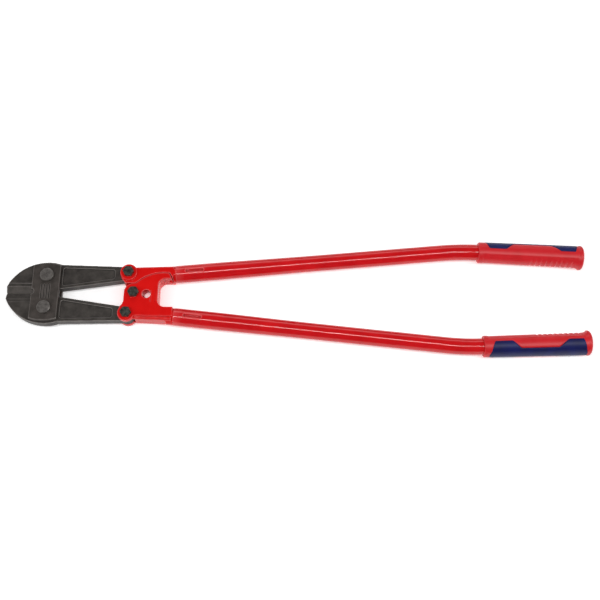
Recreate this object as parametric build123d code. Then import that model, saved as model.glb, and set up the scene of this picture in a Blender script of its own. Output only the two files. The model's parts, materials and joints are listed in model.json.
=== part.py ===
from build123d import *
import os
from math import asin, cos, degrees, hypot, radians, sin, sqrt

# Compound-lever bolt cutters, lying flat with the jaws shut. Millimetres.
# X runs from the nose of the jaws (-) to the grips (+), Y across the handles, Z up.
# Every piece is first built about the tool's mid-plane (Z = 0), then lifted by MID_Z.

# --- Linkage ---------------------------------------------------------------------
HUB_X = -252.6            # centre pivot, where the two forks cross
TOGGLE_SETBACK = 9.5      # the tang pivots lie this far in front of the hub
TANG_PIVOT_Y = 33.5       # half the spacing of the two tang pivots
JAW_REACH = 126.5         # from a jaw's pivot back to its tang pivot, along X
JAW_PIVOT_Y = 26.5        # half the spacing of the two jaw pivots
HANDLE_SWING = 45.0       # each handle opens by this many degrees

# --- Fits and gaps -----------------------------------------------------------------
RUNNING = 0.05            # radial clearance of a turning pivot
SIDE_GAP = 0.15           # face clearance between pieces that slide past each other
FORK_GAP = 1.1            # gap between the two forgings, seen from above
EDGE_GAP = 0.1            # each cutting edge stops this far from the centre line
SLOT_SIDE_GAP = 0.3       # a tang's clearance to each cheek of its clevis
SLOT_END_GAP = 0.7        # a tang eye's clearance to the floor of its clevis

# --- Jaws ------------------------------------------------------------------------
JAW_THICKNESS = 14.0
NOSE_LENGTH = 63.5        # from a jaw's pivot forward to the nose
NOSE_FLAT = 10.0          # straight front face beside the cutting edge
HEAD_HALF_WIDTH = 50.6    # outermost point of the jaw's curved back
BACK_POINT = (-46.0, 7.1)  # a point on the curved back, from the jaw's pivot
BACK_CREST_X = -2.5       # the back is furthest out here, from the jaw's pivot
BACK_FALL = (11.5, 1.1)   # this far behind the pivot the back has fallen by this much
SHOULDER_X = 20.0         # where the curved back meets the tang, behind the pivot
TANG_HEAD_OUTER_Y = 47.0  # outer edge of the tang at the shoulder
TANG_HEAD_INNER_Y = 6.4   # inner edge of the tang at the shoulder
TANG_EYE_R = 12.5
TANG_EDGE_DROP = 1.6      # the tang's edges meet its eye this far inside its outline
BEVEL_WIDTH = 10.0        # ground bevel beside the cutting edge
BEVEL_LAND = 1.2          # half thickness left at the cutting edge
FLAT_WIDTH = 15.0         # shallow ground flat behind the bevel
FLAT_DEPTH = 0.9
BLADE_END = 14.0          # the blade ends this far in front of the jaw's pivot
EDGE_END = 2.0            # the straight meeting edge ends this far in front of the pivot
PANEL_MARGIN = 5.6        # rim around the sunk panel in the tang
PANEL_START = 3.0         # the panel starts this far behind the shoulder
PANEL_END = 22.5          # the panel ends this far in front of the tang pivot
PANEL_DEPTH = 1.3
PANEL_CORNER_R = 3.5

# --- Straps ----------------------------------------------------------------------
STRAP_THICKNESS = 6.5
STRAP_FRONT = 23.1        # from the jaw pivots to the strap's front edge
STRAP_REAR = 20.4         # from the jaw pivots to the strap's rear edge
STRAP_CROWN = 21.0        # the rounded ends rise this far past the pivots
STRAP_CORNER = 17.6       # the strap's corners lie this far past the pivots
STRAP_CORNER_R = 2.5
STRAP_EDGE_R = 1.6
NOTCH_R = 4.6             # round notch at the end of the cutting edges
GROOVE_COUNT = 4
GROOVE_PITCH = 4.2
GROOVE_WIDTH = 1.4
GROOVE_DEPTH = 0.9
GROOVE_HALF_LENGTH = 12.0
GROOVE_OFFSET = -1.0      # middle of the grooves, from the jaw pivots

# --- Fasteners -------------------------------------------------------------------
JAW_BOLT_R = 7.0
JAW_HEAD_R = 10.5
JAW_HEAD_HEIGHT = 5.0
JAW_NUT_AF = 21.0
JAW_NUT_HEIGHT = 4.85
TANG_BOLT_R = 5.0
TANG_HEAD_AF = 15.2
TANG_HEAD_HEIGHT = 5.6
HUB_BOLT_R = 6.0
HUB_HEAD_AF = 15.6
HUB_HEAD_HEIGHT = 5.0
FORK_NUT_HEIGHT = 4.0
WASHER_THICKNESS = 1.0
WASHER_RIM = 1.2          # a washer's rim stands out this far past a nut's corners
HEAD_CHAMFER = 0.9
HUB_HEAD_CHAMFER = 1.8

# --- Forks -----------------------------------------------------------------------
FORK_HALF_HEIGHT = 14.2   # hub plate and clevis cheeks
SHANK_HALF_HEIGHT = 13.0
HUB_R = 15.0              # round of the hub plates, about the hub
CHEEK_R = 13.3
CLEVIS_NECK = ((-12.5, -4.5), (-10.0, -11.0), (-5.0, -17.0), (-3.3, -17.6))  # from the tang pivot
PLATE_NECK = ((-12.0, -4.5), (-7.8, -12.0), (-5.5, -19.0))  # fuller, and from the tang pivot too
CLEVIS_CUT = 40.0         # the clevis is cut clear this far past its pivot
CROTCH_X = 38.2           # rear edge of the hub plates, behind the hub
CROTCH_R = 11.0
SHANK_INNER_Y = 23.2
SHANK_OUTER_FRONT_Y = 42.0
SHANK_OUTER_REAR_Y = 44.8
SHANK_EDGE_R = 3.5
SHANK_END_GAP = 4.0       # the shank stops this far short of the tube
PLATE_END_GAP = 2.0       # and the plate's face this far short of it
PLATE_OUTER_Y = 38.6      # the hub plate's face ends here, short of the shank's edge
PLATE_EDGE_R = 1.2
TONGUE_REACH = 62.8       # the tongue of a hub plate ends on this radius
TONGUE_TIP_Y = 32.0
TONGUE_ROOT_X = 3.0       # the tongue leaves the round of the hub here
TONGUE_CROWN = (24.0, 28.6)
HANG_HOLE_R = 6.8
HANG_HOLE = (20.0, 2.6)   # offset in X and Y from the hub
STOP_GROOVE_X = (27.0, 34.0)
STOP_GROOVE_HALF_LENGTH = 10.0
STOP_GROOVE_WIDTH = 1.2
STOP_GROOVE_DEPTH = 0.8
STOP_GROOVE_Y = 6.5

# --- Handle tubes ----------------------------------------------------------------
TUBE_START = (64.0, 35.2)  # where the tube begins, from the hub
TUBE_ANGLE = 5.63          # the handles spread by this many degrees each
TUBE_WALL = 2.5
TUBE_MOUTH_R = 13.8
TUBE_R = 12.7
TUBE_MOUTH_LENGTH = 50.0   # cylindrical stretch over the fork's spigot
TUBE_TAPER_LENGTH = 170.0
TUBE_STRAIGHT = 419.0      # from the mouth to the start of the bend
BEND_RADIUS = 415.0
GRIP_ANGLE = -2.4
COLLAR_R = 13.3
COLLAR_LENGTH = 12.0
SPIGOT_LENGTH = 42.0
CRIMP_START = 14.0
CRIMP_LENGTH = 30.0
CRIMP_WIDTH = 5.6
CRIMP_DEPTH = 1.1

# --- Grips -----------------------------------------------------------------------
GRIP_LENGTH = 165.0
GRIP_WALL = 3.9            # around the tube, at the front of the grip
GRIP_SWELL = 1.4           # the grip's radius grows by this much towards its rear
GRIP_FLARE = 1.5           # and by this much more at its flared end
GRIP_FLARE_LENGTH = 9.0
GRIP_END_WALL = 9.0
GRIP_EDGE_R = 2.0
INLAY_DEPTH = 1.8
INLAY_START = 0.09         # stretches of the inlay, as shares of the grip's length
INLAY_WAIST_START = 0.40
INLAY_WAIST_END = 0.68
INLAY_END = 0.93
INLAY_LOBE_ANGLE = 200.0
INLAY_WAIST_ANGLE = 118.0

# --- Derived ---------------------------------------------------------------------
JAW_HALF = JAW_THICKNESS / 2
GRIP_FRONT_R = TUBE_R + GRIP_WALL
GRIP_REAR_R = GRIP_FRONT_R + GRIP_SWELL
GRIP_FLARE_R = GRIP_REAR_R + GRIP_FLARE
STRAP_INNER_Z = JAW_HALF + SIDE_GAP
STRAP_OUTER_Z = STRAP_INNER_Z + STRAP_THICKNESS
JAW_NUT_Z = -STRAP_OUTER_Z - WASHER_THICKNESS
FORK_NUT_Z = -FORK_HALF_HEIGHT - WASHER_THICKNESS
MID_Z = max(GRIP_FLARE_R, JAW_NUT_HEIGHT - JAW_NUT_Z, FORK_NUT_HEIGHT - FORK_NUT_Z)
HUB = Vector(HUB_X, 0)
TANG_PIVOT = Vector(HUB_X - TOGGLE_SETBACK, TANG_PIVOT_Y)
JAW_PIVOT = Vector(TANG_PIVOT.X - JAW_REACH, JAW_PIVOT_Y)
SPIGOT_R = TUBE_MOUTH_R - TUBE_WALL
BEND_TURN = TUBE_ANGLE - GRIP_ANGLE
DRIFT_SHARES = (0.0, 0.125, 0.25, 0.375, 0.5, 0.625, 0.75, 0.875)
LOW, HIGH = -100.0, 100.0   # beyond the tool below and above, for cuts right through
OVERCUT = 1.0               # how far a cut runs past the face it opens


def slab(face, z_low, z_high):
    """A flat outline made solid between two heights."""
    return Pos(0, 0, z_low) * extrude(face, z_high - z_low)


def rod(center, radius, z_low, z_high):
    """An upright cylinder between two heights."""
    return slab(Pos(center.X, center.Y) * Circle(radius), z_low, z_high)


def outline(*points):
    """A flat face from corner points."""
    return make_face(Polyline(*points, close=True))


def face_edges(solid, z):
    """The edges that lie flat at one height."""
    return solid.edges().filter_by(lambda e: abs(e.bounding_box().min.Z - z) < 1e-6
                                   and abs(e.bounding_box().max.Z - z) < 1e-6)


def turned(solid):
    """The same piece turned over about the tool's long axis."""
    return Rot(180, 0, 0) * solid


# --- Kinematics --------------------------------------------------------------------
def jaw_turn(swing):
    """Degrees that a jaw turns when its handle has swung by a number of degrees."""
    crank = hypot(TOGGLE_SETBACK, TANG_PIVOT_Y)
    rest = degrees(asin(TANG_PIVOT_Y / crank))
    link = hypot(JAW_REACH, TANG_PIVOT_Y - JAW_PIVOT_Y)
    tilt = [asin((crank * sin(radians(a)) - JAW_PIVOT_Y) / link) for a in (rest, rest - swing)]
    return degrees(tilt[0] - tilt[1])


def bolt_drift(share, frame_turn):
    """How far the upper tang bolt leaves the upper jaw's eye at a share of the travel.

    The joints turn at constant ratios, so the linkage closes exactly with the jaws shut and wide
    open, and only nearly between. The drift is seen from a frame turned by frame_turn degrees.
    """
    swing, turn = HANDLE_SWING * share, jaw_turn(HANDLE_SWING) * share
    arm = (TANG_PIVOT - HUB).rotate(Axis.Z, swing)
    lower_arm = Vector(arm.X, -arm.Y)
    upper_eye = JAW_PIVOT + (TANG_PIVOT - JAW_PIVOT).rotate(Axis.Z, -turn)
    lower_eye = Vector(upper_eye.X, -upper_eye.Y)
    bolt = lower_eye - lower_arm + arm
    return (bolt - upper_eye).rotate(Axis.Z, -frame_turn)


def drift_in_jaw(share):
    return bolt_drift(share, -jaw_turn(HANDLE_SWING) * share)


def drift_in_fork(share):
    return bolt_drift(share, HANDLE_SWING * share)


# --- Head ------------------------------------------------------------------------
def make_strap():
    """The front strap, which ties the two jaw pivots together; the rear one is the same."""
    left, right = JAW_PIVOT.X - STRAP_FRONT, JAW_PIVOT.X + STRAP_REAR
    middle = (left + right) / 2
    corner, crown = JAW_PIVOT.Y + STRAP_CORNER, JAW_PIVOT.Y + STRAP_CROWN
    edges = (Line((left, -corner), (left, corner))
             + ThreePointArc((left, corner), (middle, crown), (right, corner))
             + Line((right, corner), (right, -corner))
             + ThreePointArc((right, -corner), (middle, -crown), (left, -corner)))
    plate = make_face(edges)
    plate = fillet(plate.vertices(), STRAP_CORNER_R)
    strap = slab(plate, STRAP_INNER_Z, STRAP_OUTER_Z)
    strap = fillet(face_edges(strap, STRAP_OUTER_Z), STRAP_EDGE_R)
    strap -= rod(Vector(left, 0), NOTCH_R, LOW, HIGH)
    for side in (1, -1):
        strap -= rod(Vector(JAW_PIVOT.X, side * JAW_PIVOT.Y), JAW_BOLT_R + RUNNING, LOW, HIGH)
    first = JAW_PIVOT.X + GROOVE_OFFSET - GROOVE_PITCH * (GROOVE_COUNT - 1) / 2
    for i in range(GROOVE_COUNT):
        groove = Pos(first + i * GROOVE_PITCH, 0) * SlotOverall(
            2 * GROOVE_HALF_LENGTH, GROOVE_WIDTH, rotation=90)
        strap -= slab(groove, STRAP_OUTER_Z - GROOVE_DEPTH, HIGH)
    return strap


def make_upper_jaw(eye_drift):
    """The upper jaw; eye_drift lengthens the hole in its tang eye that way."""
    px, py = JAW_PIVOT.X, JAW_PIVOT.Y
    nose, shoulder = px - NOSE_LENGTH, px + SHOULDER_X
    crest = (px + BACK_CREST_X, HEAD_HALF_WIDTH)
    eye_outer = TANG_PIVOT.Y + TANG_EYE_R - TANG_EDGE_DROP
    eye_inner = TANG_PIVOT.Y - TANG_EYE_R + TANG_EDGE_DROP
    profile = (Line((nose, EDGE_GAP), (nose, NOSE_FLAT))
               + ThreePointArc((nose, NOSE_FLAT), (px + BACK_POINT[0], py + BACK_POINT[1]), crest)
               + ThreePointArc(crest, (px + BACK_FALL[0], HEAD_HALF_WIDTH - BACK_FALL[1]),
                               (shoulder, TANG_HEAD_OUTER_Y))
               + Polyline((shoulder, TANG_HEAD_OUTER_Y), (TANG_PIVOT.X, eye_outer),
                          (TANG_PIVOT.X, eye_inner), (shoulder, TANG_HEAD_INNER_Y),
                          (px - EDGE_END, EDGE_GAP), (nose, EDGE_GAP)))
    jaw = slab(make_face(profile), -JAW_HALF, JAW_HALF) + rod(TANG_PIVOT, TANG_EYE_R, -JAW_HALF, JAW_HALF)
    blade_end = px - BLADE_END
    ground = outline((FLAT_WIDTH, HIGH), (FLAT_WIDTH, JAW_HALF - FLAT_DEPTH),
                     (BEVEL_WIDTH, JAW_HALF - FLAT_DEPTH), (EDGE_GAP, BEVEL_LAND),
                     (-OVERCUT, BEVEL_LAND), (-OVERCUT, HIGH))
    bevel = extrude(Plane.YZ.offset(nose - OVERCUT) * ground, blade_end - nose + OVERCUT)
    jaw -= bevel
    jaw -= mirror(bevel, about=Plane.XY)
    start, end = shoulder + PANEL_START, TANG_PIVOT.X - PANEL_END
    share = (end - shoulder) / (TANG_PIVOT.X - shoulder)
    outer_end = TANG_HEAD_OUTER_Y + share * (eye_outer - TANG_HEAD_OUTER_Y) - PANEL_MARGIN
    inner_end = TANG_HEAD_INNER_Y + share * (eye_inner - TANG_HEAD_INNER_Y) + PANEL_MARGIN
    panel = outline((start, TANG_HEAD_OUTER_Y - PANEL_MARGIN), (end, outer_end), (end, inner_end),
                    (start, TANG_HEAD_INNER_Y + PANEL_MARGIN))
    panel = fillet(panel.vertices(), PANEL_CORNER_R)
    jaw -= slab(panel, JAW_HALF - PANEL_DEPTH, HIGH)
    jaw -= slab(panel, LOW, -JAW_HALF + PANEL_DEPTH)
    jaw -= rod(JAW_PIVOT, JAW_BOLT_R + RUNNING, LOW, HIGH)
    jaw -= rod(TANG_PIVOT, TANG_BOLT_R + RUNNING, LOW, HIGH)
    if eye_drift.length > RUNNING:
        far = TANG_PIVOT + eye_drift
        slot = SlotCenterPoint((TANG_PIVOT + far) * 0.5, far, 2 * (TANG_BOLT_R + SLOT_SIDE_GAP))
        jaw -= slab(slot, LOW, HIGH)
    return jaw


# --- Fasteners -------------------------------------------------------------------
def hexagon(flats, z_low, z_high, chamfer_top=0.0, chamfer_low=0.0):
    """A hexagonal prism with its corners turned off; two flats lie along X."""
    corner_r = flats / sqrt(3)
    blank = slab(Circle(corner_r), z_low, z_high)
    if chamfer_top:
        blank = chamfer(face_edges(blank, z_high), chamfer_top)
    if chamfer_low:
        blank = chamfer(face_edges(blank, z_low), chamfer_low)
    return blank & slab(RegularPolygon(corner_r, 6), z_low, z_high)


def at(point, side, solid):
    """A fastener built on the Z axis, moved to a pivot; side is 1 above and -1 below."""
    return Pos(point.X, side * point.Y) * solid


def make_jaw_bolt():
    head = slab(Circle(JAW_HEAD_R), STRAP_OUTER_Z, STRAP_OUTER_Z + JAW_HEAD_HEIGHT)
    head = chamfer(face_edges(head, STRAP_OUTER_Z + JAW_HEAD_HEIGHT), HEAD_CHAMFER)
    return head + slab(Circle(JAW_BOLT_R), JAW_NUT_Z - JAW_NUT_HEIGHT, STRAP_OUTER_Z)


def make_fork_bolt(radius, flats, height, corner):
    head = hexagon(flats, FORK_HALF_HEIGHT, FORK_HALF_HEIGHT + height, chamfer_top=corner)
    return head + slab(Circle(radius), FORK_NUT_Z - FORK_NUT_HEIGHT, FORK_HALF_HEIGHT)


def make_nut(radius, flats, z_top, height):
    nut = hexagon(flats, z_top - height, z_top, chamfer_low=HEAD_CHAMFER)
    return nut - slab(Circle(radius), LOW, HIGH)


def make_washer(radius, flats, z_low):
    ring = slab(Circle(flats / sqrt(3) + WASHER_RIM), z_low, z_low + WASHER_THICKNESS)
    return ring - slab(Circle(radius + RUNNING), LOW, HIGH)


# --- Forks -----------------------------------------------------------------------
def from_hub(x, y):
    return (HUB_X + x, y)


def crotch_corner(side):
    """The rounded corner between a hub plate's rear edge and a shank's inner edge."""
    cx, cy = CROTCH_X + CROTCH_R, side * (SHANK_INNER_Y - CROTCH_R)
    bulge = CROTCH_R * cos(radians(45))
    return ThreePointArc(from_hub(CROTCH_X, cy), from_hub(cx - bulge, cy + side * bulge),
                         from_hub(cx, side * SHANK_INNER_Y))


def neck(corners):
    """Corner points from the clevis cheek in to the hub, on the side that faces the jaws."""
    return [(TANG_PIVOT.X + x, TANG_PIVOT.Y + y) for x, y in corners]


def hub_plate_outline():
    """The upper fork's hub plate: a disc, a tongue over the other fork, and its own shank's face."""
    tongue_tip = from_hub(sqrt(TONGUE_REACH**2 - TONGUE_TIP_Y**2), -TONGUE_TIP_Y)
    tongue_heel = from_hub(sqrt(TONGUE_REACH**2 - SHANK_INNER_Y**2), -SHANK_INNER_Y)
    end_y = (TONGUE_TIP_Y + SHANK_INNER_Y) / 2
    end_middle = from_hub(sqrt(TONGUE_REACH**2 - end_y**2), -end_y)
    root = from_hub(TONGUE_ROOT_X, -sqrt(HUB_R**2 - TONGUE_ROOT_X**2))
    crown = from_hub(TONGUE_CROWN[0], -TONGUE_CROWN[1])
    shank_end = TUBE_START[0] - PLATE_END_GAP
    edges = (Line(from_hub(0, 0), root)
             + ThreePointArc(root, crown, tongue_tip)
             + ThreePointArc(tongue_tip, end_middle, tongue_heel)
             + Line(tongue_heel, from_hub(CROTCH_X + CROTCH_R, -SHANK_INNER_Y))
             + crotch_corner(-1)
             + Line(from_hub(CROTCH_X, CROTCH_R - SHANK_INNER_Y),
                    from_hub(CROTCH_X, SHANK_INNER_Y - CROTCH_R))
             + crotch_corner(1)
             + Polyline(from_hub(CROTCH_X + CROTCH_R, SHANK_INNER_Y), from_hub(shank_end, SHANK_INNER_Y),
                        from_hub(shank_end, PLATE_OUTER_Y), from_hub(-TOGGLE_SETBACK, PLATE_OUTER_Y),
                        *neck(PLATE_NECK), from_hub(-HUB_R, 0), from_hub(0, 0)))
    disc = Pos(HUB_X, 0) * Circle(HUB_R)
    cheek = Pos(TANG_PIVOT.X, TANG_PIVOT.Y) * Circle(CHEEK_R)
    return make_face(edges) + disc + cheek


def shank_outline():
    """The upper fork's shank seen from above, before the other fork's plate is let in."""
    end = TUBE_START[0] - SHANK_END_GAP
    edges = (Polyline(from_hub(CROTCH_X, SHANK_INNER_Y - CROTCH_R), *reversed(neck(CLEVIS_NECK)),
                      from_hub(-TOGGLE_SETBACK, SHANK_OUTER_FRONT_Y),
                      from_hub(end, SHANK_OUTER_REAR_Y), from_hub(end, SHANK_INNER_Y),
                      from_hub(CROTCH_X + CROTCH_R, SHANK_INNER_Y))
             + crotch_corner(1))
    return make_face(edges)


def tube_place(distance):
    """The place and direction of the upper handle's centre line at its mouth, moved along it."""
    along = Rot(0, 0, TUBE_ANGLE) * Rot(0, 90, 0)
    return Pos(HUB_X + TUBE_START[0], TUBE_START[1]) * along * Pos(0, 0, distance)


def round_bar(radius, start, end):
    """A round bar on the upper handle's centre line."""
    return tube_place(start) * extrude(Circle(radius), end - start)


def make_upper_fork():
    """The upper fork: hub plate below the mid-plane, shank with clevis, spigot for the tube."""
    plate_face = hub_plate_outline()
    neighbour = mirror(plate_face, about=Plane.XZ)
    shank = slab(shank_outline(), -SHANK_HALF_HEIGHT, SHANK_HALF_HEIGHT)
    long_edges = shank.edges().filter_by(
        lambda e: abs(abs(e.center().Z) - SHANK_HALF_HEIGHT) < 1e-6 and e.center().Y > SHANK_OUTER_FRONT_Y
        and e.length > CROTCH_X)
    shank = fillet(long_edges, SHANK_EDGE_R)
    cheek = rod(TANG_PIVOT, CHEEK_R, -FORK_HALF_HEIGHT, FORK_HALF_HEIGHT)
    cheek = fillet(face_edges(cheek, FORK_HALF_HEIGHT) + face_edges(cheek, -FORK_HALF_HEIGHT), PLATE_EDGE_R)
    body = shank + cheek + round_bar(COLLAR_R, -COLLAR_LENGTH, 0)
    recess = slab(offset(neighbour, FORK_GAP), -SIDE_GAP, HIGH)
    sweep_r = TONGUE_REACH + FORK_GAP
    tip_angle = degrees(asin(TONGUE_TIP_Y / TONGUE_REACH))
    tip_y = sweep_r * sin(radians(tip_angle))
    sweep = outline(from_hub(0, 0), from_hub(sweep_r, 0), from_hub(sweep_r, tip_y),
                    from_hub(sweep_r * cos(radians(tip_angle)), tip_y))
    sweep_disc = Pos(HUB_X, 0) * Circle(sweep_r)
    body -= recess
    body -= slab(sweep & sweep_disc, -SIDE_GAP, HIGH)
    plate = slab(plate_face, -FORK_HALF_HEIGHT, -SIDE_GAP)
    plate = fillet(face_edges(plate, -FORK_HALF_HEIGHT), PLATE_EDGE_R)
    fork = body + plate + round_bar(SPIGOT_R - RUNNING, 0, SPIGOT_LENGTH)
    tang = JAW_HALF + SLOT_SIDE_GAP
    slot_r = TANG_EYE_R + SLOT_END_GAP
    tx, ty = TANG_PIVOT.X, TANG_PIVOT.Y
    far_x, far_y = tx - CLEVIS_CUT, ty + CLEVIS_CUT
    mouth = outline((tx, ty - slot_r), (far_x, ty - slot_r), (far_x, far_y), (tx + slot_r, far_y),
                    (tx + slot_r, ty), (tx, ty))
    fork -= slab(mouth, -tang, tang)
    for share in DRIFT_SHARES:
        fork -= rod(TANG_PIVOT - drift_in_fork(share), slot_r, -tang, tang)
    fork -= rod(TANG_PIVOT, TANG_BOLT_R + RUNNING, LOW, HIGH)
    fork -= rod(HUB, HUB_BOLT_R + RUNNING, LOW, HIGH)
    fork -= rod(Vector(*from_hub(*HANG_HOLE)), HANG_HOLE_R, LOW, HIGH)
    for x in STOP_GROOVE_X:
        groove = Pos(*from_hub(x, STOP_GROOVE_Y)) * SlotOverall(
            2 * STOP_GROOVE_HALF_LENGTH, STOP_GROOVE_WIDTH, rotation=90)
        fork -= slab(groove, LOW, -FORK_HALF_HEIGHT + STOP_GROOVE_DEPTH)
    return fork


# --- Handles ---------------------------------------------------------------------
def handle_run(inset):
    """The solid of the upper handle's tube, with its radius reduced all along by the inset."""
    mouth_r, r = TUBE_MOUTH_R - inset, TUBE_R - inset
    taper_end = TUBE_MOUTH_LENGTH + TUBE_TAPER_LENGTH
    run = round_bar(mouth_r, 0, TUBE_MOUTH_LENGTH)
    run += tube_place(TUBE_MOUTH_LENGTH) * Cone(
        mouth_r, r, TUBE_TAPER_LENGTH, align=(Align.CENTER, Align.CENTER, Align.MIN))
    run += round_bar(r, taper_end, TUBE_STRAIGHT)
    bend = Plane(tube_place(TUBE_STRAIGHT)) * Circle(r)
    center = bend_center()
    run += revolve(bend, Axis((center.X, center.Y, 0), (0, 0, -1)), BEND_TURN)
    run += grip_place(0) * extrude(Circle(r), GRIP_LENGTH - GRIP_END_WALL)
    return run


def bend_center():
    start = tube_place(TUBE_STRAIGHT).position
    return start + Vector(sin(radians(TUBE_ANGLE)), -cos(radians(TUBE_ANGLE))) * BEND_RADIUS


def grip_place(distance):
    """The place and direction of the upper grip's centre line, moved along it from its front."""
    center = bend_center()
    start = center + Vector(-sin(radians(GRIP_ANGLE)), cos(radians(GRIP_ANGLE))) * BEND_RADIUS
    return Pos(start.X, start.Y) * Rot(0, 0, GRIP_ANGLE) * Rot(0, 90, 0) * Pos(0, 0, distance)


def make_upper_tube():
    """The upper handle's steel tube, crimped on to the fork's spigot."""
    tube = handle_run(0) - handle_run(TUBE_WALL)
    crimp_face = SlotOverall(CRIMP_LENGTH, CRIMP_WIDTH)
    middle = tube_place(CRIMP_START + CRIMP_LENGTH / 2).position
    for side in (1, -1):
        crimp = Pos(middle.X, middle.Y, side * TUBE_MOUTH_R) * Rot(0, 0, TUBE_ANGLE) * extrude(
            crimp_face, CRIMP_DEPTH, both=True)
        tube -= crimp
    return tube


def grip_r(share):
    """The grip's radius at a share of its length."""
    return GRIP_FRONT_R + share * (GRIP_REAR_R - GRIP_FRONT_R)


def inlay_stretch(start, end, arc):
    """One stretch of the inlay, centred on the outer side of the upper grip."""
    a, b = start * GRIP_LENGTH, end * GRIP_LENGTH
    section = outline((grip_r(start) - INLAY_DEPTH, 0, a), (grip_r(start), 0, a), (grip_r(end), 0, b),
                      (grip_r(end) - INLAY_DEPTH, 0, b))
    outward = Rot(0, 0, 90 - arc / 2)
    return grip_place(0) * outward * revolve(section, Axis.Z, arc)


def make_upper_inlay():
    """The softer inlay of the upper grip: two lobes joined by a narrower waist."""
    return (inlay_stretch(INLAY_START, INLAY_WAIST_START, INLAY_LOBE_ANGLE)
            + inlay_stretch(INLAY_WAIST_START, INLAY_WAIST_END, INLAY_WAIST_ANGLE)
            + inlay_stretch(INLAY_WAIST_END, INLAY_END, INLAY_LOBE_ANGLE))


def make_upper_grip():
    """The upper grip's shell, closed at its end, with the pocket for the inlay."""
    flare = GRIP_LENGTH - GRIP_FLARE_LENGTH
    section = outline((0, 0, 0), (GRIP_FRONT_R, 0, 0), (grip_r(flare / GRIP_LENGTH), 0, flare),
                      (GRIP_FLARE_R, 0, GRIP_LENGTH - GRIP_FLARE_LENGTH / 2), (GRIP_FLARE_R, 0, GRIP_LENGTH),
                      (0, 0, GRIP_LENGTH))
    shell = revolve(section, Axis.Z, 360)
    ends = shell.edges().filter_by(GeomType.CIRCLE).sort_by(Axis.Z)
    shell = fillet([ends[0], ends[-1]], GRIP_EDGE_R)
    shell = grip_place(0) * shell
    bore = extrude(Circle(TUBE_R + RUNNING), GRIP_LENGTH - GRIP_END_WALL + OVERCUT)
    shell -= grip_place(-OVERCUT) * bore
    return shell - make_upper_inlay()


# --- The assembly ------------------------------------------------------------------
def build():
    """Every piece by name, about the tool's mid-plane."""
    nodes = {}
    strap = make_strap()
    nodes["front_strap"] = strap
    nodes["rear_strap"] = mirror(strap, about=Plane.XY)
    nodes["upper_jaw"] = make_upper_jaw(drift_in_jaw(0.5))
    nodes["lower_jaw"] = mirror(make_upper_jaw(Vector(0, 0)), about=Plane.XZ)
    fork, tube, grip, inlay = make_upper_fork(), make_upper_tube(), make_upper_grip(), make_upper_inlay()
    nodes |= {"upper_fork": fork, "upper_tube": tube, "upper_grip": grip, "upper_grip_inlay": inlay}
    nodes |= {"lower_fork": turned(fork), "lower_tube": turned(tube), "lower_grip": turned(grip),
              "lower_grip_inlay": turned(inlay)}
    for name, side in (("upper", 1), ("lower", -1)):
        nodes[f"{name}_jaw_bolt"] = at(JAW_PIVOT, side, make_jaw_bolt())
        nodes[f"{name}_jaw_nut"] = at(JAW_PIVOT, side, make_nut(
            JAW_BOLT_R, JAW_NUT_AF, JAW_NUT_Z, JAW_NUT_HEIGHT))
        nodes[f"{name}_jaw_washer"] = at(JAW_PIVOT, side, make_washer(JAW_BOLT_R, JAW_NUT_AF, JAW_NUT_Z))
        nodes[f"{name}_tang_bolt"] = at(TANG_PIVOT, side, make_fork_bolt(
            TANG_BOLT_R, TANG_HEAD_AF, TANG_HEAD_HEIGHT, HEAD_CHAMFER))
        nodes[f"{name}_tang_nut"] = at(TANG_PIVOT, side, make_nut(
            TANG_BOLT_R, TANG_HEAD_AF, FORK_NUT_Z, FORK_NUT_HEIGHT))
        nodes[f"{name}_tang_washer"] = at(TANG_PIVOT, side, make_washer(
            TANG_BOLT_R, TANG_HEAD_AF, FORK_NUT_Z))
    nodes["hub_bolt"] = at(HUB, 1, make_fork_bolt(HUB_BOLT_R, HUB_HEAD_AF, HUB_HEAD_HEIGHT, HUB_HEAD_CHAMFER))
    nodes["hub_nut"] = at(HUB, 1, make_nut(HUB_BOLT_R, HUB_HEAD_AF, FORK_NUT_Z, FORK_NUT_HEIGHT))
    nodes["hub_washer"] = at(HUB, 1, make_washer(HUB_BOLT_R, HUB_HEAD_AF, FORK_NUT_Z))
    return nodes


os.makedirs("parts", exist_ok=True)
for node, solid in build().items():
    export_step(Pos(0, 0, MID_Z) * solid, f"parts/{node}.step")
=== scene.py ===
"""Bolt cutters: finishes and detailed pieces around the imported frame."""

import json
import logging
import math
from abc import ABC, abstractmethod
from dataclasses import dataclass, field
from enum import Enum

import bmesh
import bpy
from mathutils import Euler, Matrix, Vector

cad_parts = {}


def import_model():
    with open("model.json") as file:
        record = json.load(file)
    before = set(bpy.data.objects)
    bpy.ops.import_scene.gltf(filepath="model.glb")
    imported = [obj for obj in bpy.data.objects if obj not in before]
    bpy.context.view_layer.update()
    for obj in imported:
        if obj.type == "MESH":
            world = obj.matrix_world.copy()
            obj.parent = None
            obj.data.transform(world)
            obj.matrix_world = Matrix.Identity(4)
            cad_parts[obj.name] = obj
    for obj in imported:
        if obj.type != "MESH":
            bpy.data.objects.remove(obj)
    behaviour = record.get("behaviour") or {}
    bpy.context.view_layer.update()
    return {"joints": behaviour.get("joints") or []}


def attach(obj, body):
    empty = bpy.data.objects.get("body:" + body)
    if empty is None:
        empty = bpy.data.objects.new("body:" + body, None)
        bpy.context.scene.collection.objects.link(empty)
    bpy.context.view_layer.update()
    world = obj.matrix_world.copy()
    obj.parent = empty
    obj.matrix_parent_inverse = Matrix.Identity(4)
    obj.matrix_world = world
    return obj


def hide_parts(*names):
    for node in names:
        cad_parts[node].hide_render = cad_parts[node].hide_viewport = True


LOG = logging.getLogger("bolt_cutters")
MM = 0.001
TURN = 2 * math.pi
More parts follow.
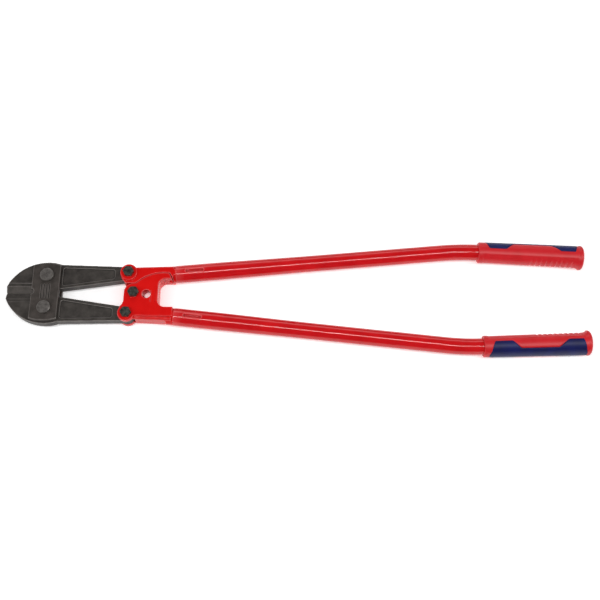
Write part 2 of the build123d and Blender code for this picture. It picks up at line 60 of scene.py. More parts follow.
# Pointiness is 0.5 on a flat face: above it edges are painted paler (a painted highlight, and rubbing on
# steel), and below it crevices get painted shade.
RUB_AND_HIGHLIGHT_BAND = (0.506, 0.535)
CREVICE_SHADE_BAND = (0.496, 0.468)


class Side(Enum):
    """The two handles and jaws: the upper lies on +Y, the lower is the same pieces turned over."""

    UPPER = "upper"
    LOWER = "lower"

    @property
    def sign(self) -> int:
        """+1 for the upper side and -1 for the lower."""
        return 1 if self is Side.UPPER else -1


# --- Small helpers -----------------------------------------------------------------
def linear(hex_colour: str) -> tuple[float, float, float, float]:
    """Turn an sRGB hex colour to linear light.

    Args:
        hex_colour: Six hex digits, with or without a leading #.

    Returns:
        Linear red, green, blue and an alpha of 1.
    """
    digits = hex_colour.lstrip("#")
    channels = [int(digits[i:i + 2], 16) / 255 for i in (0, 2, 4)]
    curved = [c / 12.92 if c <= 0.04045 else ((c + 0.055) / 1.055) ** 2.4 for c in channels]
    return (curved[0], curved[1], curved[2], 1.0)


def per_metre(size_mm: float) -> float:
    """The scale that gives a noise pattern features of a real size in millimetres."""
    return 1000.0 / size_mm


def smooth_step(value: float, low: float, high: float) -> float:
    """Rise smoothly from 0 at low to 1 at high; the order of the two sets the direction.

    Args:
        value: Where to read the step.
        low: Where the step is 0.
        high: Where the step is 1.

    Returns:
        The step's height, from 0 to 1.
    """
    share = min(1.0, max(0.0, (value - low) / (high - low)))
    return share * share * (3 - 2 * share)


def add_node(tree: bpy.types.NodeTree, kind: str, inputs: dict | None = None,
             **settings: object) -> bpy.types.Node:
    """Add one shader node with its settings and links.

    Args:
        tree: The node tree to add to.
        kind: The node's type name.
        inputs: Input name or index, to a value or to another node's output socket.
        **settings: Properties of the node itself.

    Returns:
        The new node.
    """
    node = tree.nodes.new(kind)
    for key, value in settings.items():
        setattr(node, key, value)
    for key, value in (inputs or {}).items():
        if isinstance(value, bpy.types.NodeSocket):
            tree.links.new(value, node.inputs[key])
        else:
            node.inputs[key].default_value = value
    return node


# --- Finishes ----------------------------------------------------------------------
class Finish(ABC):
    """A surface finish: a named material with procedural nodes."""

    name: str
    slot: str

    def make(self) -> bpy.types.Material:
        """Make the Blender material, once.

        Returns:
            The material, with its nodes built.
        """
        found = bpy.data.materials.get(self.name)
        if found is not None:
            return found
        material = bpy.data.materials.new(self.name)
        material.use_nodes = True
        tree = material.node_tree
        tree.nodes.clear()
        place = add_node(tree, "ShaderNodeTexCoord")
        shader = self.shade(tree, place)
        add_node(tree, "ShaderNodeOutputMaterial", {"Surface": shader.outputs["BSDF"]})
        return material

    @abstractmethod
    def shade(self, tree: bpy.types.NodeTree, place: bpy.types.Node) -> bpy.types.Node:
        """Build the finish's nodes.

        Args:
            tree: The material's node tree.
            place: The texture coordinates to read the patterns from.

        Returns:
            The principled shader.
        """

    def mottle(self, tree: bpy.types.NodeTree, where: bpy.types.NodeSocket, size_mm: float,
               dark: str, light: str) -> bpy.types.NodeSocket:
        """Soft patches of two tones.

        Args:
            tree: The material's node tree.
            where: The texture coordinates.
            size_mm: The size of a patch.
            dark: Hex colour of the dark patches.
            light: Hex colour of the light ones.

        Returns:
            The colour socket.
        """
        patches = add_node(tree, "ShaderNodeTexNoise", {
            "Vector": where, "Scale": per_metre(size_mm), "Detail": 4.0, "Roughness": 0.6})
        share = add_node(tree, "ShaderNodeMapRange", {
            "Value": patches.outputs["Fac"], "From Min": 0.33, "From Max": 0.67})
        tones = add_node(tree, "ShaderNodeMix", {
            0: share.outputs["Result"], 6: linear(dark), 7: linear(light)}, data_type="RGBA")
        return tones.outputs[2]

    def rub_highlight_and_shade(self, tree: bpy.types.NodeTree, base: bpy.types.NodeSocket, edge: str, crevice: str,
             amount: float) -> bpy.types.NodeSocket:
        """Paint a highlight on raised edges (with rubbing, on steel) and paint shade into crevices.

        Args:
            tree: The material's node tree.
            base: The colour to start from.
            edge: Hex colour of an edge's painted highlight, with its rubbing on steel.
            crevice: Hex colour of the painted shade in a crevice.
            amount: How strongly the two show, from 0 to 1.

        Returns:
            The colour socket.
        """
        shape = add_node(tree, "ShaderNodeNewGeometry").outputs["Pointiness"]
        rub_and_highlight_mask = add_node(tree, "ShaderNodeMapRange", {
            "Value": shape, "From Min": RUB_AND_HIGHLIGHT_BAND[0], "From Max": RUB_AND_HIGHLIGHT_BAND[1], "To Max": amount})
        crevice_shade_mask = add_node(tree, "ShaderNodeMapRange", {
            "Value": shape, "From Min": CREVICE_SHADE_BAND[0], "From Max": CREVICE_SHADE_BAND[1], "To Max": amount})
        rubbed_and_highlit = add_node(tree, "ShaderNodeMix", {
            0: rub_and_highlight_mask.outputs["Result"], 6: base, 7: linear(edge)}, data_type="RGBA")
        crevice_shaded = add_node(tree, "ShaderNodeMix", {
            0: crevice_shade_mask.outputs["Result"], 6: rubbed_and_highlit.outputs[2], 7: linear(crevice)}, data_type="RGBA")
        return crevice_shaded.outputs[2]

    def dress(self, piece: bpy.types.Object) -> None:
        """Give a piece this finish alone.

        Args:
            piece: The piece to dress.
        """
        piece.data.materials.clear()
        piece.data.materials.append(self.make())


@dataclass(frozen=True)
class PhosphatedSteel(Finish):
    """Drop-forged tool steel, phosphated: a dense dark grey skin over fine forging scale.

    The scale's oiled pits make soft, broken highlights; edges are painted paler, as rubbing and as a
    painted highlight, and crevices are painted with shade.
    """

    name: str = "phosphated_forged_steel"
    slot: str = "jaw_steel"
    colour: str = "#4F4A46"
    dark: str = "#34302D"
    # edge: paler edge colour, part rubbing and part painted highlight; crevice: painted shade in
    # crevices.
    edge: str = "#8B8581"
    crevice: str = "#171513"
    patch_mm: float = 14.0
    pit_mm: float = 1.3
    grit_mm: float = 0.45
    pit_height_mm: float = 0.10
    roughness: tuple[float, float] = (0.42, 0.6)

    def shade(self, tree: bpy.types.NodeTree, place: bpy.types.Node) -> bpy.types.Node:
        """Oily patches, pits and grit in the scale, with edges painted paler (rubbing and a painted
        highlight) and painted shade in crevices.

        Args:
            tree: The material's node tree.
            place: The texture coordinates.

        Returns:
            The principled shader.
        """
        where = place.outputs["Object"]
        tones = self.mottle(tree, where, self.patch_mm, self.dark, self.colour)
        pits = add_node(tree, "ShaderNodeTexNoise", {
            "Vector": where, "Scale": per_metre(self.pit_mm), "Detail": 3.0, "Roughness": 0.55})
        grit = add_node(tree, "ShaderNodeTexNoise", {
            "Vector": where, "Scale": per_metre(self.grit_mm), "Detail": 2.0})
        # Paler edges: rubbing and a painted highlight; darker crevices: painted shade.
        rubbed_highlit_and_shaded = self.rub_highlight_and_shade(tree, tones, self.edge, self.crevice, 0.9)
        gloss = add_node(tree, "ShaderNodeMapRange", {
            "Value": pits.outputs["Fac"], "From Min": 0.3, "From Max": 0.7,
            "To Min": self.roughness[0], "To Max": self.roughness[1]})
        relief = add_node(tree, "ShaderNodeMath", {0: pits.outputs["Fac"], 1: grit.outputs["Fac"]},
                          operation="ADD")
        bump = add_node(tree, "ShaderNodeBump", {
            "Height": relief.outputs["Value"], "Strength": 0.55, "Distance": self.pit_height_mm * MM})
        return add_node(tree, "ShaderNodeBsdfPrincipled", {
            "Base Color": rubbed_highlit_and_shaded, "Metallic": 0.55, "Roughness": gloss.outputs["Result"],
            "Normal": bump.outputs["Normal"]})


@dataclass(frozen=True)
class TurnedSteel(Finish):
    """Blackened steel, turned on a lathe: fine rings about the bolt's axis catch the light."""

    name: str = "turned_blackened_steel"
    slot: str = "jaw_bolt_steel"
    colour: str = "#85807C"
    dark: str = "#5E5A57"
    patch_mm: float = 5.0
    ring_mm: float = 0.9
    head_mm: float = 21.0
    ring_height_mm: float = 0.03
    roughness: float = 0.4

    def shade(self, tree: bpy.types.NodeTree, place: bpy.types.Node) -> bpy.types.Node:
        """Rings from the head's middle outwards, over light and dark patches.

        Args:
            tree: The material's node tree.
            place: The texture coordinates.

        Returns:
            The principled shader.
        """
        middle = add_node(tree, "ShaderNodeVectorMath", {
            0: place.outputs["Generated"], 1: (0.5, 0.5, 0.5)}, operation="SUBTRACT")
        flat = add_node(tree, "ShaderNodeVectorMath", {
            0: middle.outputs["Vector"], 1: (1.0, 1.0, 0.0)}, operation="MULTIPLY")
        radius = add_node(tree, "ShaderNodeVectorMath", {0: flat.outputs["Vector"]}, operation="LENGTH")
        rings = add_node(tree, "ShaderNodeMath", {
            0: radius.outputs["Value"], 1: TURN * self.head_mm / self.ring_mm}, operation="MULTIPLY")
        wave = add_node(tree, "ShaderNodeMath", {0: rings.outputs["Value"]}, operation="SINE")
        tones = self.mottle(tree, place.outputs["Object"], self.patch_mm, self.dark, self.colour)
        bump = add_node(tree, "ShaderNodeBump", {
            "Height": wave.outputs["Value"], "Strength": 0.35, "Distance": self.ring_height_mm * MM})
        return add_node(tree, "ShaderNodeBsdfPrincipled", {
            "Base Color": tones, "Metallic": 0.7, "Roughness": self.roughness,
            "Normal": bump.outputs["Normal"]})


@dataclass(frozen=True)
class PowderCoat(Finish):
    """Gloss red powder coat, baked on steel: a smooth thick skin with a faint orange peel.

    The peel bends the long highlights a little; the colour deepens where the coat is thick. Raised edges
    carry a painted highlight, and crevices painted shade.
    """

    name: str = "red_powder_coat"
    slot: str = "tube_enamel"
    colour: str = "#D8141B"
    deep: str = "#C90E15"
    # edge: painted highlight along raised edges; crevice: painted shade in crevices.
    edge: str = "#F2686A"
    crevice: str = "#7A0A10"
    peel_mm: float = 3.2
    cloud_mm: float = 30.0
    peel_height_mm: float = 0.02
    roughness: float = 0.11
    shine: float = 0.5

    def shade(self, tree: bpy.types.NodeTree, place: bpy.types.Node) -> bpy.types.Node:
        """Clouds of deeper red, a painted highlight on edges and painted shade in crevices, and the
        peel's soft relief.

        Args:
            tree: The material's node tree.
            place: The texture coordinates.

        Returns:
            The principled shader.
        """
        where = place.outputs["Object"]
        # Painted highlight on raised edges and painted shade in crevices.
        tones = self.rub_highlight_and_shade(tree, self.mottle(tree, where, self.cloud_mm, self.deep, self.colour),
                          self.edge, self.crevice, 0.7)
        peel = add_node(tree, "ShaderNodeTexNoise", {
            "Vector": where, "Scale": per_metre(self.peel_mm), "Detail": 1.0})
        bump = add_node(tree, "ShaderNodeBump", {
            "Height": peel.outputs["Fac"], "Strength": 0.4, "Distance": self.peel_height_mm * MM})
        return add_node(tree, "ShaderNodeBsdfPrincipled", {
            "Base Color": tones, "Roughness": self.roughness, "IOR": 1.5,
            "Specular IOR Level": self.shine, "Normal": bump.outputs["Normal"]})


@dataclass(frozen=True)
class MouldedPlastic(Finish):
    """Injection-moulded plastic, hard or soft: an even body colour under a fine eroded grain."""

    name: str
    slot: str
    colour: str
    dark: str
    grain_mm: float
    grain_height_mm: float
    roughness: float
    ior: float
    flow_mm: float = 22.0

    def shade(self, tree: bpy.types.NodeTree, place: bpy.types.Node) -> bpy.types.Node:
        """The mould's grain, and faint flow marks in the colour.

        Args:
            tree: The material's node tree.
            place: The texture coordinates.

        Returns:
            The principled shader.
        """
        where = place.outputs["Object"]
        tones = self.mottle(tree, where, self.flow_mm, self.dark, self.colour)
        grain = add_node(tree, "ShaderNodeTexVoronoi", {
            "Vector": where, "Scale": per_metre(self.grain_mm)}, feature="SMOOTH_F1")
        bump = add_node(tree, "ShaderNodeBump", {
            "Height": grain.outputs["Distance"], "Strength": 0.5,
            "Distance": self.grain_height_mm * MM})
        return add_node(tree, "ShaderNodeBsdfPrincipled", {
            "Base Color": tones, "Roughness": self.roughness, "IOR": self.ior,
            "Normal": bump.outputs["Normal"]})


JAW_FINISH = PhosphatedSteel()
# The strap steel carries the same painted edge highlight (with rubbing) and painted crevice shade.
STRAP_FINISH = PhosphatedSteel(name="phosphated_strap_steel", slot="strap_steel", colour="#504945",
                               dark="#393430", edge="#8B8581", roughness=(0.45, 0.62))
JAW_BOLT_FINISH = TurnedSteel()
# Zinc plating, passivated black with a green cast, as on high-tensile hexagon bolts.
FORK_BOLT_FINISH = TurnedSteel(name="black_zinc_plated_steel", slot="fork_bolt_steel", colour="#70716A",
                               dark="#30342F", head_mm=17.6, roughness=0.3)
# Tube and forging both take the powder coat's painted edge highlight and painted crevice shade.
TUBE_FINISH = PowderCoat()
FORK_FINISH = PowderCoat(name="red_powder_coat_on_forging", slot="fork_enamel", colour="#E01614",
                         deep="#D21010", peel_mm=2.4, peel_height_mm=0.05, roughness=0.16,
                         shine=0.22)
# Polypropylene shell: satin, so its highlights are broad and weak.
SHELL_FINISH = MouldedPlastic("moulded_red_polypropylene", "grip_red", "#D81C27", "#CC151E", 0.7, 0.03,
                              0.42, 1.49)
# Thermoplastic elastomer inlay: softer and duller than the shell.
INLAY_FINISH = MouldedPlastic("moulded_blue_elastomer", "grip_blue", "#0A145A", "#070E46", 0.8, 0.04,
                              0.45, 1.4)


# --- Meshes ------------------------------------------------------------------------
def loft(name: str, rings: list[list[Vector]], closed_path: bool = False) -> bpy.types.Object:
    """Skin a stack of rings, each with the same number of points.

    Args:
        name: The new object's name.
        rings: The rings in order; points that coincide are joined.
        closed_path: Whether the last ring meets the first again, as on a tube with a wall.

    Returns:
        A smooth-shaded mesh object in the scene.
    """
    mesh = bpy.data.meshes.new(name)
    count = len(rings[0])
    points = [p for ring in rings for p in ring]
    faces = []
    last = len(rings) if closed_path else len(rings) - 1
    for i in range(last):
        a, b = i * count, ((i + 1) % len(rings)) * count
        for j in range(count):
            k = (j + 1) % count
            faces.append((a + j, a + k, b + k, b + j))
    mesh.from_pydata(points, [], faces)
    work = bmesh.new()
    work.from_mesh(mesh)
    bmesh.ops.remove_doubles(work, verts=work.verts, dist=2e-6)
    bmesh.ops.dissolve_degenerate(work, edges=work.edges, dist=1e-6)
    bmesh.ops.recalc_face_normals(work, faces=work.faces)
    work.to_mesh(mesh)
    work.free()
    mesh.shade_smooth()
    piece = bpy.data.objects.new(name, mesh)
    bpy.context.scene.collection.objects.link(piece)
    return piece


def apply_modifiers(piece: bpy.types.Object) -> None:
    """Bake a piece's modifiers into its mesh.

    Args:
        piece: The piece whose modifiers are applied.
    """
    graph = bpy.context.evaluated_depsgraph_get()
    baked = bpy.data.meshes.new_from_object(piece.evaluated_get(graph))
    piece.modifiers.clear()
    piece.data = baked


@dataclass
class Forging:
    """A forged piece: the CAD node's own shape, with every edge rolled over as dies leave it."""

    node: str
    body: str
    finish: Finish
    voxel_mm: float = 0.6
    rounds: int = 5

    def build(self) -> bpy.types.Object:
        """Copy the CAD shape, remesh it finely and ease its edges.

        Returns:
            The piece that stands for the CAD node.
        """
        source = bpy.data.objects[self.node]
        piece = bpy.data.objects.new(f"{self.node}_forging", source.data.copy())
        bpy.context.scene.collection.objects.link(piece)
        work = bmesh.new()
        work.from_mesh(piece.data)
        bmesh.ops.remove_doubles(work, verts=work.verts, dist=1e-6)
        work.to_mesh(piece.data)
        work.free()
        remesh = piece.modifiers.new("forge", "REMESH")
        remesh.mode = "VOXEL"
        remesh.voxel_size = self.voxel_mm * MM
        remesh.use_smooth_shade = True
        ease = piece.modifiers.new("ease", "SMOOTH")
        ease.factor = 0.5
        ease.iterations = self.rounds
        apply_modifiers(piece)
        piece.data.shade_smooth()
        self.finish.dress(piece)
        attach(piece, self.body)
        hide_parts(self.node)
        LOG.info("%s: %d faces", piece.name, len(piece.data.polygons))
        return piece


@dataclass
class HandleLine:
    """The centre line of a handle: straight from the fork, a long bend, then the grip."""

    hub: Vector
    mid_z: float
    mouth_mm: tuple[float, float] = (64.0, 35.2)
    spread_deg: float = 5.63
    straight_mm: float = 419.0
    bend_radius_mm: float = 415.0
    grip_deg: float = -2.4

    @property
    def bend_mm(self) -> float:
        """The length of the bend along the centre line."""
        return self.bend_radius_mm * math.radians(self.spread_deg - self.grip_deg)

    def at(self, distance_mm: float) -> tuple[Vector, Vector]:
        """Find a point on the upper handle's line.

        Args:
            distance_mm: How far along the line, from the tube's mouth.

        Returns:
            The point, and the unit normal that points away from the other handle.
        """
        angle = math.radians(self.spread_deg)
        start = Vector((self.hub.x + self.mouth_mm[0] * MM, self.hub.y + self.mouth_mm[1] * MM,
                        self.mid_z))
        ahead = Vector((math.cos(angle), math.sin(angle), 0))
        if distance_mm <= self.straight_mm:
            return start + ahead * distance_mm * MM, Vector((-ahead.y, ahead.x, 0))
        start += ahead * self.straight_mm * MM
        centre = start - Vector((-ahead.y, ahead.x, 0)) * self.bend_radius_mm * MM
        turned = min(distance_mm - self.straight_mm, self.bend_mm) / self.bend_radius_mm
        angle -= turned
        out = Vector((-math.sin(angle), math.cos(angle), 0))
        point = centre + out * self.bend_radius_mm * MM
        beyond = max(0.0, distance_mm - self.straight_mm - self.bend_mm)
        return point + Vector((math.cos(angle), math.sin(angle), 0)) * beyond * MM, out

    def ring(self, distance_mm: float, polar: list[tuple[float, float]], side: Side) -> list[Vector]:
        """Lay a ring of points about the line.

        Args:
            distance_mm: Where on the line the ring lies.
            polar: Angle from the outward side, and radius in millimetres, for each point.
            side: Which handle; the lower is the upper turned over about the tool's long axis.

        Returns:
            The ring's points.
        """
        point, out = self.at(distance_mm)
        up = Vector((0, 0, 1))
        ring = [point + (out * math.cos(a) + up * math.sin(a)) * r * MM for a, r in polar]
        if side is Side.UPPER:
            return ring
        return [Vector((p.x, -p.y, 2 * self.mid_z - p.z)) for p in ring]


@dataclass
class HandleTube:
    """A handle's steel tube: swaged down from its mouth, and crimped on to the fork's spigot."""

    line: HandleLine
    side: Side
    grip_length_mm: float = 165.0
    end_wall_mm: float = 9.5
    mouth_r_mm: float = 13.8
    shaft_r_mm: float = 12.7
    wall_mm: float = 2.5
    mouth_length_mm: float = 50.0
    taper_mm: float = 170.0
    lip_mm: float = 0.8
    crimp_start_mm: float = 14.0
    crimp_length_mm: float = 30.0
    crimp_width_mm: float = 7.0
    crimp_depth_mm: float = 2.0
    crimp_margin_mm: float = 2.0
    crimp_step_mm: float = 0.75
    step_mm: float = 6.0
    around: int = 96

    def radius(self, distance_mm: float) -> float:
        """The tube's outer radius, with its rolled lip and swaged taper.

        Args:
            distance_mm: Where along the tube.

        Returns:
            The radius in millimetres, before any crimp.
        """
        taper = smooth_step(distance_mm, self.mouth_length_mm, self.mouth_length_mm + self.taper_mm)
        lip = max(0.0, self.lip_mm - distance_mm)
        rolled = self.lip_mm - math.sqrt(max(0.0, self.lip_mm**2 - lip**2))
        return self.mouth_r_mm + taper * (self.shaft_r_mm - self.mouth_r_mm) - rolled

    def crimp(self, distance_mm: float, angle: float, radius: float) -> float:
        """The depth of the two crimps, above and below, at a point on the tube.

        Args:
            distance_mm: Where along the tube.
            angle: The angle from the outward side.
            radius: The tube's radius there, in millimetres.

        Returns:
            How far the surface is pressed in, in millimetres.
        """
        middle = self.crimp_start_mm + self.crimp_length_mm / 2
        along = max(0.0, abs(distance_mm - middle) - (self.crimp_length_mm - self.crimp_width_mm) / 2)
        across = min(abs(math.remainder(angle - a, TURN)) for a in (TURN / 4, -TURN / 4)) * radius
        reach = math.hypot(along, across)
        return self.crimp_depth_mm * smooth_step(reach, self.crimp_width_mm / 2, self.crimp_width_mm / 6)

    def stations(self) -> list[float]:
        """Divide the tube's length: finely at the lip and the crimps, more widely beyond.

        Returns:
            Distances from the tube's mouth, in millimetres.
        """
        end = self.line.straight_mm + self.line.bend_mm + self.grip_length_mm - self.end_wall_mm
        places = [self.lip_mm * (1 - math.cos(TURN / 4 * i / 5)) for i in range(6)]
        crimp_end = self.crimp_start_mm + self.crimp_length_mm
        start = self.crimp_start_mm - self.crimp_margin_mm
        count = int((crimp_end + self.crimp_margin_mm - start) / self.crimp_step_mm)
        places += [start + self.crimp_step_mm * i for i in range(count + 1)]
        at = crimp_end + self.step_mm
        while at < end:
            places.append(at)
            at += self.step_mm
        return places + [end]

    def build(self) -> bpy.types.Object:
        """Loft the tube's outer and inner faces and dress it.

        Returns:
            The tube, riding on its handle.
        """
        places = self.stations()
        angles = [TURN * j / self.around for j in range(self.around)]
        rings = []
        for place in places:
            r = self.radius(place)
            polar = [(a, r - self.crimp(place, a, r)) for a in angles]
            rings.append(self.line.ring(place, polar, self.side))
        for place in [at for at in reversed(places) if at > 2 * self.lip_mm] + [0.0]:
            inner = self.radius(max(place, self.lip_mm)) - self.wall_mm
            rings.append(self.line.ring(place, [(a, inner) for a in angles], self.side))
        tube = loft(f"{self.side.value}_tube_drawn", rings, closed_path=True)
        TUBE_FINISH.dress(tube)
        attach(tube, f"{self.side.value}_handle")
        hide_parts(f"{self.side.value}_tube")
        LOG.info("%s: %d faces", tube.name, len(tube.data.polygons))
        return tube


@dataclass
class Grip:
    """A two-component grip: a hard shell over the tube's end, with a soft inlay let into it."""

    line: HandleLine
    side: Side
    length_mm: float = 165.0
    front_r_mm: float = 16.6
    rear_r_mm: float = 18.0
    bore_r_mm: float = 12.75
    end_wall_mm: float = 9.0
    rim_mm: float = 2.2
    flare_start: float = 0.95
    flare_mm: float = 0.7
    hook_mm: float = 1.6
    pocket_mm: float = 1.8
    proud_mm: float = 0.25
    seam_mm: float = 0.55
    seam_depth_mm: float = 0.45
    pad_gap_rad: float = 0.004
    pad_lift_mm: float = 0.06
    pad_roll: float = 1.6
    inlay_tilt_deg: float = -9.5
    inlay_edge: list[tuple[float, float]] = field(default_factory=lambda: [
        (0.05, 0.0), (0.098, 93.0), (0.265, 93.0), (0.34, 50.0), (0.69, 50.0), (0.78, 92.0),
        (0.925, 92.0), (0.955, 0.0)])
    edge_blur: float = 0.011
    rib_pitch_mm: float = 8.0
    rib_start: float = 0.47
    rib_end: float = 0.93
    rib_depth_mm: float = 1.1
    rib_sharpness: float = 2.5
    rib_half_deg: float = 62.0
    panel_drop_mm: float = 0.8
    panel_edge_deg: float = 7.0
    panel_front: tuple[float, float] = (0.035, 0.06)
    fade: float = 0.02
    flare_length: float = 0.018
    rib_fade_deg: tuple[float, float] = (58.0, 14.0)
    cap_groove_mm: tuple[float, float, float] = (6.0, 1.7, 0.7)
    step_mm: float = 0.7
    inlay_points: int = 40
    shell_points: int = 60

    def inlay_half(self, share: float) -> float:
        """The inlay's half width as an angle, at a share of the grip's length.

        Args:
            share: Where along the grip, from 0 at its front to 1 at its end.

        Returns:
            The angle in radians from the inlay's middle to its edge; 0 where there is none.
        """
        samples = 9
        total = 0.0
        for i in range(samples):
            total += self.raw_half(share + self.edge_blur * (2 * i / (samples - 1) - 1))
        low, high = self.inlay_edge[0][0], self.inlay_edge[-1][0]
        inside = low < share < high
        return math.radians(total / samples) if inside else 0.0

    def raw_half(self, share: float) -> float:
        """Read the inlay's outline, with sharp corners.

        Args:
            share: Where along the grip, from 0 at its front to 1 at its end.

        Returns:
            The inlay's half width in degrees.
        """
        for (a, low), (b, high) in zip(self.inlay_edge, self.inlay_edge[1:]):
            if a <= share <= b:
                return low + (high - low) * (share - a) / (b - a)
        return 0.0

    def skin(self, along_mm: float, angle: float) -> float:
        """The shell's outer radius.

        Args:
            along_mm: Distance from the grip's front.
            angle: Angle from the outward side.

        Returns:
            The radius in millimetres, with swell, ribs, ribbed panel, flare and rounded ends.
        """
        share = along_mm / self.length_mm
        r = self.front_r_mm + share * (self.rear_r_mm - self.front_r_mm)
        inward = abs(math.remainder(angle - TURN / 2, TURN))
        panel = smooth_step(inward, math.radians(self.rib_half_deg),
                            math.radians(self.rib_half_deg - self.panel_edge_deg))
        ends = smooth_step(share, *self.panel_front)
        ends *= smooth_step(share, self.flare_start, self.flare_start - self.fade)
        r -= self.panel_drop_mm * panel * ends
        ribs = smooth_step(share, self.rib_start, self.rib_start + self.fade)
        ribs *= smooth_step(share, self.rib_end, self.rib_end - self.fade)
        wave = 0.5 - 0.5 * math.cos(TURN * along_mm / self.rib_pitch_mm)
        near, far = (math.radians(a) for a in self.rib_fade_deg)
        r -= self.rib_depth_mm * smooth_step(inward, near, far) * ribs * wave**self.rib_sharpness
        from_end, width, depth = self.cap_groove_mm
        r -= depth * smooth_step(abs(self.length_mm - along_mm - from_end), width / 2, 0.0)
        flare = smooth_step(share, self.flare_start, self.flare_start + self.flare_length)
        r += flare * (self.flare_mm + self.hook_mm * 0.5 * (1 - math.cos(angle)))
        front, rear = along_mm, self.length_mm - along_mm
        for gap, rim in ((front, self.rim_mm), (rear, 2 * self.rim_mm)):
            inset = max(0.0, rim - gap)
            r -= rim - math.sqrt(max(0.0, rim**2 - inset**2))
        return r

    def stations(self) -> list[float]:
        """Divide the grip's length, with the rounded ends finely stepped.

        Returns:
            Distances from the grip's front, in millimetres.
        """
        front = [self.rim_mm * (1 - math.cos(TURN / 4 * i / 6)) for i in range(6)]
        rear_r = 2 * self.rim_mm
        rear = [self.length_mm - rear_r * (1 - math.sin(TURN / 4 * i / 10)) for i in range(11)]
        middle, at = [], self.rim_mm
        while at < self.length_mm - rear_r:
            middle.append(at)
            at += self.step_mm
        return front + middle + rear

    def shell_ring(self, along_mm: float) -> list[tuple[float, float]]:
        """One ring of the shell: the pocket's floor, then the skin round to it again.

        Args:
            along_mm: Distance from the grip's front.

        Returns:
            Angle and radius of each point.
        """
        half = self.inlay_half(along_mm / self.length_mm)
        tilt = math.radians(self.inlay_tilt_deg)
        ring = []
        for j in range(self.inlay_points + 1):
            angle = tilt - half + 2 * half * j / self.inlay_points
            ring.append((angle, self.skin(along_mm, angle) - self.pocket_mm * (half > 0)))
        lip = self.seam_mm / self.rear_r_mm
        span = TURN - 2 * half
        for j in range(self.shell_points + 1):
            share = j / self.shell_points
            angle = tilt + half + span * share
            near = min(share, 1 - share) * span
            groove = self.seam_depth_mm * smooth_step(near, lip, 0.0) * (half > 0)
            ring.append((angle, self.skin(along_mm, angle) - groove))
        return ring

    def build_shell(self) -> bpy.types.Object:
        """Loft the shell: bore, front face, skin and closed end.

        Returns:
            The shell.
        """
        start = self.line.straight_mm + self.line.bend_mm
        count = self.inlay_points + self.shell_points + 2
        angles = [a for a, _ in self.shell_ring(0.0)]
        rings = []
        bore_end = self.length_mm - self.end_wall_mm
        for place, radius in ((bore_end, 0.0), (bore_end, self.bore_r_mm), (0.0, self.bore_r_mm)):
            rings.append(self.line.ring(start + place, [(a, radius) for a in angles], self.side))
        for place in self.stations():
            rings.append(self.line.ring(start + place, self.shell_ring(place), self.side))
        rings.append(self.line.ring(start + self.length_mm, [(0.0, 0.0)] * count, self.side))
        return loft(f"{self.side.value}_grip_shell", rings)

    def build_inlay(self) -> bpy.types.Object:
        """Loft the inlay as a closed pad that fills the shell's pocket and stands a little proud.

        Returns:
            The pad.
        """
        start = self.line.straight_mm + self.line.bend_mm
        tilt = math.radians(self.inlay_tilt_deg)
        lip = self.seam_mm / self.rear_r_mm
        rings = []
        for place in self.stations():
            half = self.inlay_half(place / self.length_mm)
            if half <= 0:
                continue
            edge = half - min(self.pad_gap_rad, half / 4)
            top, floor = [], []
            for j in range(self.inlay_points + 1):
                angle = tilt - edge + 2 * edge * j / self.inlay_points
                near = edge - abs(angle - tilt)
                roll = smooth_step(near, self.pad_roll * lip, 0.0) * (self.proud_mm + self.seam_depth_mm)
                skin = self.skin(place, angle)
                top.append((angle, skin + self.proud_mm - roll))
                floor.append((angle, skin - self.pocket_mm + self.pad_lift_mm))
            rings.append(self.line.ring(start + place, top + floor[::-1], self.side))
        for end in (0, -1):
            middle = sum(rings[end], Vector()) / len(rings[end])
            cap = [middle.copy() for _ in rings[end]]
            rings.insert(0, cap) if end == 0 else rings.append(cap)
        return loft(f"{self.side.value}_grip_inlay_pad", rings)

    def build(self) -> None:
        """Build and dress both parts of the grip, and put them on their handle."""
        for piece, finish, node in ((self.build_shell(), SHELL_FINISH, f"{self.side.value}_grip"),
                                    (self.build_inlay(), INLAY_FINISH, f"{self.side.value}_grip_inlay")):
            finish.dress(piece)
            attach(piece, f"{self.side.value}_handle")
            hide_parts(node)
            LOG.info("%s: %d faces", piece.name, len(piece.data.polygons))


@dataclass
class Fasteners:
    """Bolts, nuts and washers: their CAD shapes are right, so they only get their finishes."""

    turned: tuple[str, ...] = ("jaw_bolt", "jaw_nut", "jaw_washer")
    plated: tuple[str, ...] = ("tang_bolt", "tang_nut", "tang_washer")
    hub: tuple[str, ...] = ("hub_bolt", "hub_nut", "hub_washer")

    def dress(self) -> None:
        """Give every fastener its finish."""
        for side in Side:
            for kind in self.turned:
                JAW_BOLT_FINISH.dress(bpy.data.objects[f"{side.value}_{kind}"])
            for kind in self.plated:
                FORK_BOLT_FINISH.dress(bpy.data.objects[f"{side.value}_{kind}"])
        for node in self.hub:
            FORK_BOLT_FINISH.dress(bpy.data.objects[node])


@dataclass
class Head:
    """The cutting head: two straps and two jaws, all forged."""

    def build(self) -> None:
        """Build the four forgings."""
        for node in ("front_strap", "rear_strap"):
            Forging(node, "head", STRAP_FINISH, voxel_mm=0.4, rounds=2).build()
        for side in Side:
            Forging(f"{side.value}_jaw", f"{side.value}_jaw_body", JAW_FINISH, voxel_mm=0.55,
                    rounds=2).build()


@dataclass
class Handles:
    """Both handles, each with its fork, tube and grip."""

    line: HandleLine

    def build(self) -> None:
        """Build each handle's pieces in turn."""
        for side in Side:
            Forging(f"{side.value}_fork", f"{side.value}_handle", FORK_FINISH, rounds=4).build()
            HandleTube(self.line, side).build()
            Grip(self.line, side).build()


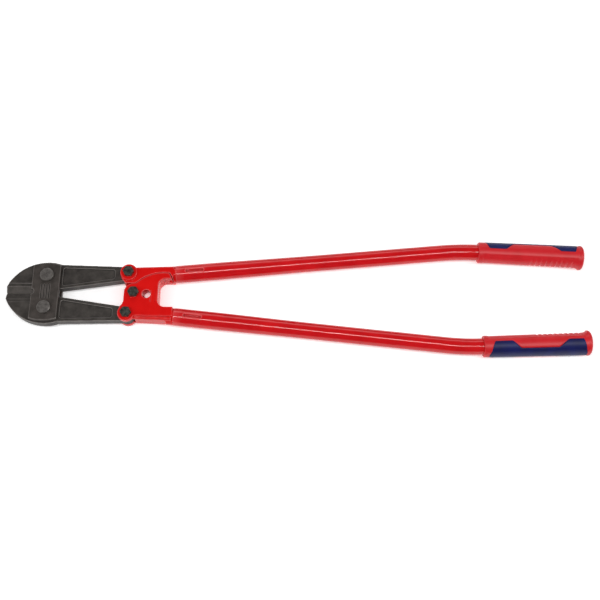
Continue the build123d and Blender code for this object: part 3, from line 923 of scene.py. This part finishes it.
@dataclass(frozen=True)
class Lamp:
    """A soft rectangular lamp: its place, the point it faces and its size, in metres, and its watts."""

    name: str
    at: tuple[float, float, float]
    size: tuple[float, float]
    watts: float
    aim: tuple[float, float, float] = (0.0, 0.0, 0.0)

    def hang(self) -> None:
        """Add the lamp to the scene."""
        data = bpy.data.lights.new(self.name, "AREA")
        data.shape = "RECTANGLE"
        data.size, data.size_y = self.size
        data.energy = self.watts
        lamp = bpy.data.objects.new(self.name, data)
        lamp.location = self.at
        lamp.rotation_euler = (Vector(self.aim) - Vector(self.at)).to_track_quat("-Z", "Y").to_euler()
        bpy.context.scene.collection.objects.link(lamp)


@dataclass
class Studio:
    """A pale light table, soft light from panels and a strip lamp, and the camera."""

    camera_at_m: tuple[float, float, float] = (0.01137, -0.5093, 1.4046)
    camera_tilt_deg: float = 20.0
    camera_roll_deg: float = 0.642
    focal_mm: float = 56.7
    floor_colour: str = "#FBFBFB"
    floor_m: float = 12.0
    floor_glow: float = 0.36
    surround_strength: float = 0.10
    lamps: tuple[Lamp, ...] = (
        Lamp("strip_lamp", (0.0, -0.42, 1.64), (3.0, 0.12), 23.5),
        Lamp("back_panel", (-0.2, 2.2, 1.3), (2.4, 1.0), 12.0),
        Lamp("left_panel", (-2.4, -0.1, 1.3), (1.4, 1.0), 14.0),
        Lamp("right_panel", (2.4, -0.1, 1.3), (1.4, 1.0), 14.0),
    )

    def build(self) -> None:
        """Set up the floor, the world, the lamps and the camera."""
        self.add_floor()
        self.add_world()
        for lamp in self.lamps:
            lamp.hang()
        self.add_camera()

    def add_floor(self) -> None:
        """Lay the floor just under the tool."""
        mesh = bpy.data.meshes.new("floor")
        half = self.floor_m / 2
        mesh.from_pydata([(-half, -half, 0), (half, -half, 0), (half, half, 0), (-half, half, 0)], [],
                         [(0, 1, 2, 3)])
        floor = bpy.data.objects.new("floor", mesh)
        bpy.context.scene.collection.objects.link(floor)
        material = bpy.data.materials.new("matt_paper")
        material.use_nodes = True
        tree = material.node_tree
        tree.nodes.clear()
        shader = add_node(tree, "ShaderNodeBsdfPrincipled", {
            "Base Color": linear(self.floor_colour), "Roughness": 0.9, "Specular IOR Level": 0.0,
            "Emission Color": (1, 1, 1, 1), "Emission Strength": self.floor_glow})
        add_node(tree, "ShaderNodeOutputMaterial", {"Surface": shader.outputs["BSDF"]})
        mesh.materials.append(material)

    def add_world(self) -> None:
        """An even white surround."""
        world = bpy.data.worlds.new("surround")
        world.use_nodes = True
        tree = world.node_tree
        tree.nodes.clear()
        light = add_node(tree, "ShaderNodeBackground", {
            "Color": (1, 1, 1, 1), "Strength": self.surround_strength})
        add_node(tree, "ShaderNodeOutputWorld", {"Surface": light.outputs["Background"]})
        bpy.context.scene.world = world

    def add_camera(self) -> None:
        """Place the camera."""
        data = bpy.data.cameras.new("camera")
        data.lens = self.focal_mm
        data.sensor_width = 36.0
        camera = bpy.data.objects.new("camera", data)
        camera.location = self.camera_at_m
        camera.rotation_euler = Euler((math.radians(self.camera_tilt_deg), 0,
                                       math.radians(self.camera_roll_deg)))
        bpy.context.scene.collection.objects.link(camera)
        bpy.context.scene.camera = camera


def main() -> None:
    """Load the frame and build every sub-assembly."""
    logging.basicConfig(level=logging.INFO, format="%(name)s %(message)s")
    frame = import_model()
    hub = next(j for j in frame["joints"] if j["name"] == "handle_pivot")["pos_m"]
    line = HandleLine(hub=Vector(hub), mid_z=hub[2])
    Head().build()
    Handles(line).build()
    Fasteners().dress()
    Studio().build()
    bpy.context.scene.view_settings.view_transform = "Standard"
    LOG.info("all pieces built")


if __name__ == "__main__":
    main()
